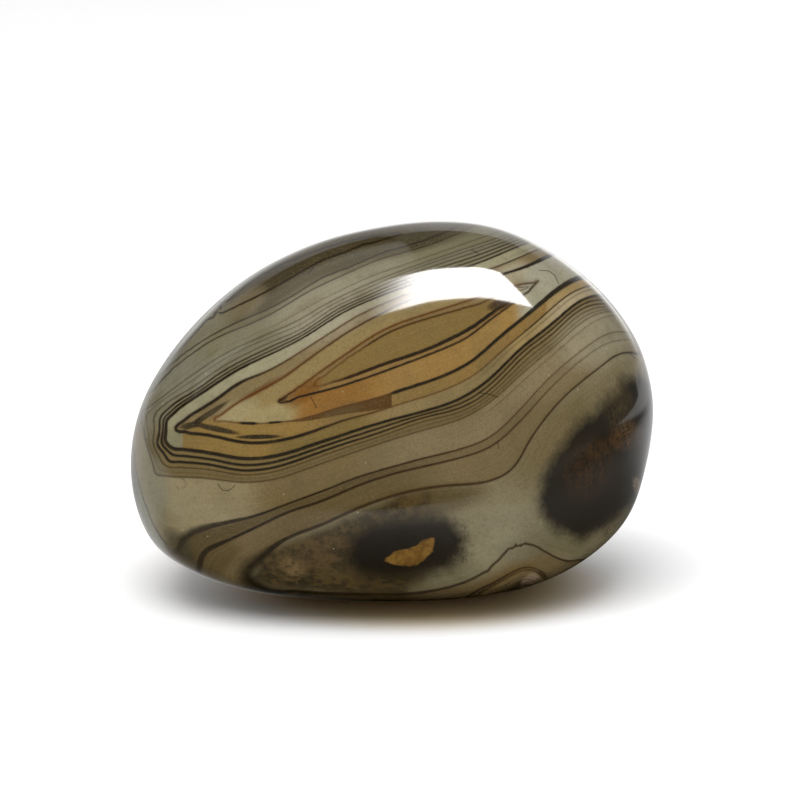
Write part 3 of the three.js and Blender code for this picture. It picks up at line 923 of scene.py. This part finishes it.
def agate_material(settings):
    """Polished agate: nested bands and lines, with soft mineral blotches under the polish."""
    paint = Paint(SLOT)
    level, climb, side = paint.split(paint.attribute("bands"))
    spot = paint.attribute("place")
    across, _, back = paint.split(spot)
    right_blotch, foot_blotch, tan_spot = paint.split(paint.attribute("blotches"))
    pocket = paint.split(paint.attribute("pocket"))[0]
    front, below = 1 - back, 1 - side
    fine, clouds, grain = (paint.noise(*texture) for texture in (FINE, CLOUDS, GRAIN))

    def blended(shares):
        """The fine clouds, the broad clouds and the grain, added up in these shares."""
        return fine * shares[0] + clouds * shares[1] + grain * shares[2]

    inked = paint.fade(climb, *FLAT_CLIMB) * (fine * INK_VARIES + LEAST_INK)
    climb = paint.maths("MAXIMUM", climb, LEAST_CLIMB)
    level = level + (fine - HALF) * LINE_WOBBLE * climb
    colour = band_colour(paint, level, side)
    for low, high, left, left_fade, right, right_fade, above_too, overlay_colour, strength in BAND_STAINS_AND_GLOW:
        mask = paint.between(level, low, high, 2 * ZONE_EDGE)
        mask = mask * paint.between(across, left, right, left_fade, right_fade)
        if not above_too:
            mask = mask * below
        colour = paint.mix(mask * strength, colour, shown(overlay_colour))
    for *shape, overlay_colour, strength in PATCHES:
        mask = paint.patch(spot, *shape, strength) * front
        colour = paint.mix(mask, colour, shown(overlay_colour))

    # The dark wedge under the first band.
    thickness = (across - WEDGE_ENDS[0]) * WEDGE_THICKENS
    wedge = paint.fade(level - FIRST_BAND - thickness, WEDGE_EDGE, -WEDGE_EDGE)
    wedge = wedge * paint.fade(level - FIRST_BAND, -ZONE_EDGE, ZONE_EDGE)
    wedge = wedge * paint.between(across, *WEDGE_ENDS, *WEDGE_SOFTNESS) * below
    colour = paint.mix(wedge * WEDGE_STRENGTH, colour, shown(WEDGE_BROWN))

    # Faint growth lines, clouds and grain in the bands' own colours.
    growth = paint.grain_along(level, GROWTH_LINE)
    shade = paint.fade(growth, *DARK_GROWTH) * paint.fade(clouds, *GROWTH_CLOUDS)
    colour = paint.mix(shade * DARK_GROWTH_STRENGTH, colour, shown(CLOUD_SHADE))
    shade = paint.fade(growth, *PALE_GROWTH)
    colour = paint.mix(shade * PALE_GROWTH_STRENGTH, colour, shown(LIGHT_GROWTH))
    textures = {"dust": paint.noise(*DUST), "clouds": clouds, "fine": fine, "grain": grain}
    for texture, start, full, strength, overlay_colour in LAYERS:
        shade = paint.fade(textures[texture], start, full)
        colour = paint.mix(shade * strength, colour, shown(overlay_colour))

    # Smoky brown pocket at the foot.
    mottle = blended(MOTTLE)
    mask = paint.fade(pocket + (clouds - HALF) * BROAD_SMOKE, *POCKET_EDGE) * front
    mask = mask * paint.fade(across, *POCKET_FADE)
    brown = paint.mix(paint.fade(mottle, *POCKET_MOTTLE), shown(POCKET_DARK), shown(POCKET_BROWN))
    colour = paint.mix(mask * POCKET_STRENGTH, colour, brown)

    colour = draw_lines(paint, colour, level, climb, side, across, inked)

    # Black blotches with smoky edges, and the browns inside them.
    smoke = (fine - HALF) * FINE_SMOKE + (clouds - HALF) * BROAD_SMOKE
    flecks = (grain - HALF) * SMOKE_FLECKS
    mask = paint.fade(right_blotch + smoke + flecks, *RIGHT_EDGE)
    foot = paint.fade(foot_blotch + smoke + flecks, *FOOT_EDGE) * front
    mask = paint.maths("MAXIMUM", mask, foot)
    colour = paint.mix(mask * BLOTCH_STRENGTH, colour, shown(BLOTCH_BLACK))
    from_front = paint.place()[1] * (1 / MM)
    speckle = paint.fade(blended(SPECKLE), *SPECKLE_EDGE) * paint.fade(from_front, *BROWN_REACH)
    for *shape, overlay_colour, strength in BLOTCH_PATCHES:
        mask = paint.patch(spot, *shape, strength) * speckle
        colour = paint.mix(mask, colour, shown(overlay_colour))
    mask = paint.fade(tan_spot + (grain - HALF) * SPOT_FLECKS, *SPOT_EDGE) * front
    tan = paint.mix(paint.fade(mottle, *SPOT_MOTTLE), shown(SPOT_BROWN), shown(SPOT_TAN))
    colour = paint.mix(mask, colour, tan)

    # Small flaws and dust.
    broken = paint.fade(fine, *RING_GAPS)
    rings = paint.most([paint.fade(abs(paint.gap(spot, middle) - radius), MARK_WIDTH, 0.0)
                        for middle, radius in RINGS])
    scratches = paint.most([paint.stroke(spot, start, end, MARK_WIDTH) for start, end in SCRATCHES])
    colour = paint.mix(rings * front * broken * RING_STRENGTH, colour, shown(BLACK_LINE))
    colour = paint.mix(scratches * front * SCRATCH_STRENGTH, colour, shown(BLACK_LINE))
    specks = paint.most([paint.fade(paint.gap(spot, middle), SPECK_SIZE, 0.0) for middle in SPECKS])
    colour = paint.mix(specks * front * SPECK_STRENGTH, colour, shown(PALE_DUST))

    # Light that comes up through the stone's foot.
    foot_height = paint.place()[2] * (1 / MM)
    amber = paint.fade(foot_height, *AMBER_HEIGHTS) * AMBER_STRENGTH
    colour = paint.mix(amber, colour, shown(AMBER))

    colour = paint.mix(1.0, colour, BODY_TONE, "MULTIPLY")
    shader = paint.node("ShaderNodeBsdfPrincipled", None, {
        "Base Color": colour,
        "Roughness": settings.roughness,
        "IOR": settings.ior,
        "Subsurface Weight": settings.glow,
        "Subsurface Radius": GLOW_SPREAD,
        "Subsurface Scale": settings.glow_depth,
    })
    paint.node("ShaderNodeOutputMaterial", None, {"Surface": shader.outputs[0]})
    return paint.material


def glowing_material(name, strength, shape):
    """A white card that glows by a share worked out from its object coordinates."""
    paint = Paint(name)
    colour = paint.mix(shape(paint, paint.place()), BLACK, WHITE)
    glow = paint.node("ShaderNodeEmission", None, {"Color": colour, "Strength": strength})
    paint.node("ShaderNodeOutputMaterial", None, {"Surface": glow.outputs[0]})
    return paint.material


# How the cards' glow changes over them. Lengths are in metres. X runs to the right, y to the back
# and z up, from the point under the stone's middle.
SOFTBOX_FADE, SOFTBOX_CURVE = (-0.075, 0.01), 1.3
FLOOR_EDGE, FLOOR_SLANT = 0.055, 1.08  # how far in front it ends, and how much nearer to the right
FLOOR_SOFT, FLOOR_SOFTER = 0.003, 1.2  # softness of that edge, and how much more to the left
FOOT_DEPTH, FOOT_REACH = 1.5, (0.02, 0.07)  # the painted shadow of the stone round its foot, in the floor's reflection
RIGHT_FRONT_X, RIGHT_FRONT_Y, RIGHT_FRONT_SHADE = (0.0, 0.05), (0.06, 0.0), 0.7
FAR_RIGHT_X, FAR_RIGHT_Y, FAR_RIGHT_SHADE = (0.06, 0.14), (-0.065, 0.11, 0.05), 0.85
LEFT_X, LEFT_SHADE = (0.0, 0.02), 0.42
BESIDE_X, BESIDE_Y, BESIDE_ADDS = (0.0, -0.015), (-0.012, 0.002), 0.3  # the brightest quarter
ELSEWHERE = 0.7
WALL_ENDS, WALL_END_SHADE = (0.1, 0.4), 0.65
WALL_TOP, WALL_TOP_SHADE = (0.0, 0.13), 0.7
WALL_LEFT, WALL_LEFT_DIM, WALL_LEFT_ADDS = (-0.06, 0.02), 0.55, 0.45
SIDE_CARD_FADE = (0.22, 0.32)


def softbox_glow(paint, place):
    """Fades out at the softbox's left end."""
    return paint.maths("POWER", paint.fade(place[0], *SOFTBOX_FADE), SOFTBOX_CURVE)


def floor_glow(paint, place):
    """Ends in a slanting line at the front. It has a painted shadow of the stone round the stone's
    foot, is darker to both sides of it, and is brightest in the quarter that lies behind the foot
    at the left."""
    x, y, _ = place
    right = paint.maths("MAXIMUM", x, 0.0)
    left = paint.maths("MAXIMUM", x * -1.0, 0.0)
    past_edge = y + FLOOR_EDGE + right * FLOOR_SLANT
    soft = left * FLOOR_SOFTER + FLOOR_SOFT
    lit = paint.fade(past_edge / soft, -1.0, 1.0)
    reach = paint.maths("SQRT", x * x + y * y * FOOT_DEPTH)
    dark = paint.fade(x, *RIGHT_FRONT_X) * paint.fade(y, *RIGHT_FRONT_Y) * RIGHT_FRONT_SHADE
    shaded = 1.0 - dark
    dark = paint.fade(x, *FAR_RIGHT_X) * paint.between(y, *FAR_RIGHT_Y) * FAR_RIGHT_SHADE
    distant = 1.0 - dark
    distant = distant * (1.0 - paint.fade(left, *LEFT_X) * LEFT_SHADE)
    beside = paint.fade(x, *BESIDE_X) * paint.fade(y, *BESIDE_Y)
    # The painted shadow of the stone round its foot, lifted in the brightest quarter.
    near = paint.maths("MAXIMUM", paint.fade(reach, *FOOT_REACH), beside)
    return lit * near * shaded * distant * (beside * BESIDE_ADDS + ELSEWHERE)


def wall_glow(paint, place):
    """Dims towards the wall's ends, its top and its left half."""
    x, _, z = place
    ends = 1.0 - paint.fade(abs(x), *WALL_ENDS) * WALL_END_SHADE
    top = 1.0 - paint.fade(z, *WALL_TOP) * WALL_TOP_SHADE
    return ends * top * (paint.fade(x, *WALL_LEFT) * WALL_LEFT_ADDS + WALL_LEFT_DIM)


def side_glow(paint, place):
    """Comes up to full brightness above the wall."""
    return paint.fade(place[2], *SIDE_CARD_FADE)


SHADOW_GLOW_REACH = (0.017, 0.0165)  # half length and half depth of the painted amber light and shadow on the floor, in metres
SHADOW_GLOW_MIDDLE = (0.002, 0.0)
SHADOW_GLOW_EDGE = (1.3, 0.7)  # shares of that reach between which the painted light and shadow come up
# Floor colour at the stone's foot: painted shadow, warmed by painted amber light through the stone.
SHADOW_GLOW_COLOUR = (0.66, 0.5, 0.26, 1.0)
SWEEP_ROUGHNESS = 0.8


def sweep_material(colour):
    """The matt white sweep, with the shadow and amber light that the stone casts round its foot painted
    in.
    """
    paint = Paint("white_sweep")
    x, y = ((value - middle) * (1 / half)
            for value, middle, half in zip(paint.place(), SHADOW_GLOW_MIDDLE, SHADOW_GLOW_REACH))
    reach = paint.maths("SQRT", x * x + y * y)
    shadow_glow = paint.mix(paint.fade(reach, *SHADOW_GLOW_EDGE), (*colour, 1.0), SHADOW_GLOW_COLOUR)
    shader = paint.node("ShaderNodeBsdfPrincipled", None,
                        {"Base Color": shadow_glow, "Roughness": SWEEP_ROUGHNESS})
    paint.node("ShaderNodeOutputMaterial", None, {"Surface": shader.outputs[0]})
    return paint.material


# ---------------------------------------------------------------------------------------------
# Shapes
# ---------------------------------------------------------------------------------------------


def link(name, data):
    """A new object at the origin, in the scene."""
    made = bpy.data.objects.new(name, data)
    bpy.context.scene.collection.objects.link(made)
    return made


SAME_CORNER = 0.001  # corners of the solid's facets that are closer than this are one
SWEEP_STEPS = 12  # strips in the curve from the floor to the wall


def smooth_pebble(levels):
    """The solid's own shape with its facets smoothed out, as a plain mesh."""
    form = bmesh.new()
    form.from_mesh(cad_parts[NODE].data)
    bmesh.ops.remove_doubles(form, verts=form.verts, dist=SAME_CORNER * MM)
    bmesh.ops.join_triangles(form, faces=form.faces, angle_face_threshold=math.pi,
                             angle_shape_threshold=math.pi)
    rough = bpy.data.meshes.new("pebble_facets")
    form.to_mesh(rough)
    form.free()
    rough.materials.clear()
    holder = link("pebble_facets", rough)
    smoother = holder.modifiers.new("smooth", "SUBSURF")
    smoother.levels = levels
    smoother.render_levels = levels
    graph = bpy.context.evaluated_depsgraph_get()
    mesh = bpy.data.meshes.new_from_object(holder.evaluated_get(graph))
    bpy.data.objects.remove(holder)
    bpy.data.meshes.remove(rough)
    mesh.shade_smooth()
    return mesh


def sweep_mesh(settings):
    """A floor that curves up into a wall behind the stone, as strips from front to back, in metres."""
    radius = settings.sweep_radius
    back = settings.floor_back - radius
    profile = [(settings.floor_front, 0.0), (back, 0.0)]
    for step in range(1, SWEEP_STEPS + 1):
        angle = math.pi / 2 * step / SWEEP_STEPS
        profile.append((back + radius * math.sin(angle), radius * (1 - math.cos(angle))))
    profile.append((settings.floor_back, settings.wall_height))
    half = settings.floor_width / 2
    vertices = [(side, y, z) for y, z in profile for side in (-half, half)]
    faces = [(2 * i, 2 * i + 1, 2 * i + 3, 2 * i + 2) for i in range(len(profile) - 1)]
    mesh = bpy.data.meshes.new("sweep")
    mesh.from_pydata(vertices, [], faces)
    mesh.shade_smooth()
    return mesh


def level_corners(outline, height):
    """The corners of a level card of any outline, at a height."""
    return [(x, y, height) for x, y in outline]


def add_card(name, corners, glow, strength):
    """A flat studio card that only the polish reflects."""
    mesh = bpy.data.meshes.new(name)
    mesh.from_pydata(corners, [], [tuple(range(len(corners)))])
    mesh.materials.append(glowing_material(name, strength, glow))
    card = link(name, mesh)
    for kind in ("camera", "diffuse", "transmission", "volume_scatter", "shadow"):
        setattr(card, "visible_" + kind, False)


def area_light(name, place, size, aim, power):
    """A flat soft light, turned towards a point, that the polish doesn't reflect."""
    light = bpy.data.lights.new(name, "AREA")
    light.shape = "RECTANGLE"
    light.size, light.size_y = size
    light.energy = power
    lamp = link(name, light)
    lamp.location = place
    direction = Vector(aim) - Vector(place)
    lamp.rotation_euler = direction.to_track_quat("-Z", "Y").to_euler()
    lamp.visible_glossy = False
    lamp.visible_camera = False


# ---------------------------------------------------------------------------------------------
# Settings, operators and panel
# ---------------------------------------------------------------------------------------------


class PebbleSettings(bpy.types.PropertyGroup):
    """What a user would change on the stone."""

    smoothing: IntProperty(
        name="Smoothing", description="How many times each facet is divided", default=2, min=0, max=2)
    roughness: FloatProperty(
        name="Roughness", description="Roughness of the polish", default=0.07, min=0.0, max=1.0,
        subtype="FACTOR")
    ior: FloatProperty(
        name="Index of refraction", description="Strength of the polish's reflections, as for quartz",
        default=1.54, min=1.0, max=2.5)
    glow: FloatProperty(
        name="Glow", description="Share of the light that spreads under the surface", default=0.15,
        min=0.0, max=1.0, subtype="FACTOR")
    glow_depth: FloatProperty(
        name="Glow depth", description="How far light spreads under the surface", default=0.0012,
        min=0.0, unit="LENGTH")


class StageSettings(bpy.types.PropertyGroup):
    """What a user would change on the floor, the lights and the camera."""

    floor_front: FloatProperty(
        name="Floor front", description="Front edge of the floor", default=-0.112, unit="LENGTH")
    floor_back: FloatProperty(
        name="Floor back", description="Where the wall stands", default=0.75, unit="LENGTH")
    floor_width: FloatProperty(
        name="Floor width", description="Width of the sweep", default=1.8, min=0.1, unit="LENGTH")
    sweep_radius: FloatProperty(
        name="Sweep radius", description="Radius of the curve from floor to wall", default=0.15,
        min=0.01, unit="LENGTH")
    wall_height: FloatProperty(
        name="Wall height", description="Height of the wall", default=0.35, min=0.01, unit="LENGTH")
    floor_colour: FloatVectorProperty(
        name="Floor colour", description="Colour of the sweep", default=(0.9, 0.9, 0.9), min=0.0,
        max=1.0, subtype="COLOR", size=3)
    overhead_power: FloatProperty(
        name="Overhead light", description="Power of the soft light over the stone", default=2.1,
        min=0.0, unit="POWER")
    fill_power: FloatProperty(
        name="Fill light", description="Power of the broad light high above", default=3.3, min=0.0,
        unit="POWER")
    room_light: FloatProperty(
        name="Room light", description="Brightness of the soft light from all round", default=0.8,
        min=0.0)
    room_glare: FloatProperty(
        name="Room in the polish", description="Brightness of the room as the polish reflects it",
        default=0.1, min=0.0)
    softbox_glare: FloatProperty(
        name="Softbox in the polish", description="Brightness of the softbox as reflected",
        default=20.0, min=0.0)
    floor_glare: FloatProperty(
        name="Floor in the polish", description="Brightness of the floor as reflected", default=1.0,
        min=0.0)
    back_glare: FloatProperty(
        name="Wall in the polish", description="Brightness of the wall behind as reflected",
        default=1.65, min=0.0)
    side_glare: FloatProperty(
        name="Side card in the polish", description="Brightness of the card at the upper left",
        default=0.55, min=0.0)
    camera_distance: FloatProperty(
        name="Camera distance", description="From the camera to the stone's middle", default=0.4,
        min=0.1, unit="LENGTH")
    camera_height: FloatProperty(
        name="Camera elevation", description="Angle of the camera above the floor",
        default=math.radians(12), unit="ROTATION")
    lens: FloatProperty(
        name="Lens", description="Focal length in millimetres", default=180.0, min=20.0)


class AGATE_OT_pebble(bpy.types.Operator):
    """Builds the polished pebble in place of the plain solid"""

    bl_idname = "agate.pebble"
    bl_label = "Agate pebble"

    def execute(self, context):
        settings = context.scene.agate_pebble
        mesh = smooth_pebble(settings.smoothing)
        store_pattern(mesh)
        mesh.materials.append(agate_material(settings))
        pebble = link("polished_pebble", mesh)
        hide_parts(NODE)
        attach(pebble, BODY)
        return {"FINISHED"}


class AGATE_OT_stage(bpy.types.Operator):
    """Sets the white sweep, the studio lights, the dim room and the camera"""

    bl_idname = "agate.stage"
    bl_label = "Agate stage"

    def execute(self, context):
        settings = context.scene.agate_stage
        sweep = link("sweep", sweep_mesh(settings))
        sweep.data.materials.append(sweep_material(settings.floor_colour))
        sweep.visible_glossy = False
        self.lights(settings)
        self.cards(settings)
        self.room(context.scene, settings)
        self.camera(context.scene, settings)
        return {"FINISHED"}

    @staticmethod
    def lights(settings):
        """Soft lights over the stone, which the cards stand for in its reflections."""
        for light in LIGHTS:
            area_light(*light, getattr(settings, light[0] + "_power"))

    @staticmethod
    def cards(settings):
        """What the polish reflects: softbox overhead, pale floor, wall behind and side card."""
        for name, corners, glow in (
                ("softbox", level_corners(SOFTBOX_OUTLINE, SOFTBOX_HEIGHT), softbox_glow),
                ("floor", level_corners(FLOOR_CARD_OUTLINE, FLOOR_CARD_HEIGHT), floor_glow),
                ("back", BACK_CARD_CORNERS, wall_glow),
                ("side", SIDE_CARD_CORNERS, side_glow)):
            add_card(name + "_card", corners, glow, getattr(settings, name + "_glare"))

    @staticmethod
    def room(scene, settings):
        """Soft light from all round, which the camera sees as white and the polish as a dim room."""
        world = bpy.data.worlds.new("room")
        world.use_nodes = True
        tree = world.node_tree
        tree.nodes.clear()
        rays = tree.nodes.new("ShaderNodeLightPath")
        output = tree.nodes.new("ShaderNodeOutputWorld")
        shade = None
        for ray, strength in ((None, settings.room_light), ("Is Glossy Ray", settings.room_glare),
                              ("Is Camera Ray", 1.0)):
            background = tree.nodes.new("ShaderNodeBackground")
            background.inputs["Color"].default_value = WHITE
            background.inputs["Strength"].default_value = strength
            if shade is None:
                shade = background
                continue
            mixed = tree.nodes.new("ShaderNodeMixShader")
            tree.links.new(rays.outputs[ray], mixed.inputs[0])
            tree.links.new(shade.outputs[0], mixed.inputs[1])
            tree.links.new(background.outputs[0], mixed.inputs[2])
            shade = mixed
        tree.links.new(shade.outputs[0], output.inputs[0])
        scene.world = world

    @staticmethod
    def camera(scene, settings):
        """The camera in front of the stone, a little above it."""
        low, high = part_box(NODE)
        middle = (low + high) / 2
        lens = bpy.data.cameras.new("camera")
        lens.lens = settings.lens
        lens.sensor_width = SENSOR_WIDTH
        lens.shift_x, lens.shift_y = CAMERA_SHIFT
        camera = link("camera", lens)
        tilt = settings.camera_height
        away = Vector((0.0, -math.cos(tilt), math.sin(tilt))) * settings.camera_distance
        camera.location = middle + away
        camera.rotation_euler = (math.pi / 2 - tilt, 0.0, 0.0)
        scene.camera = camera
        scene.view_settings.view_transform = "Standard"


class AGATE_PT_panel(bpy.types.Panel):
    """Lists the settings of the agate pebble and of its stage, each with the button that builds it"""

    bl_idname = "AGATE_PT_panel"
    bl_label = "Banded agate pebble"
    bl_space_type = "VIEW_3D"
    bl_region_type = "UI"
    bl_category = "Agate"

    def draw(self, context):
        scene = context.scene
        for settings, operator in ((scene.agate_pebble, AGATE_OT_pebble),
                                   (scene.agate_stage, AGATE_OT_stage)):
            box = self.layout.box()
            for name in settings.__annotations__:
                box.prop(settings, name)
            box.operator(operator.bl_idname)


CLASSES = (PebbleSettings, StageSettings, AGATE_OT_pebble, AGATE_OT_stage, AGATE_PT_panel)


def register():
    for item in CLASSES:
        bpy.utils.register_class(item)
    bpy.types.Scene.agate_pebble = PointerProperty(type=PebbleSettings)
    bpy.types.Scene.agate_stage = PointerProperty(type=StageSettings)


def unregister():
    del bpy.types.Scene.agate_stage
    del bpy.types.Scene.agate_pebble
    for item in reversed(CLASSES):
        bpy.utils.unregister_class(item)


def main():
    """Builds everything."""
    register()
    bpy.ops.agate.pebble()
    bpy.ops.agate.stage()


if __name__ == "__main__":
    main()
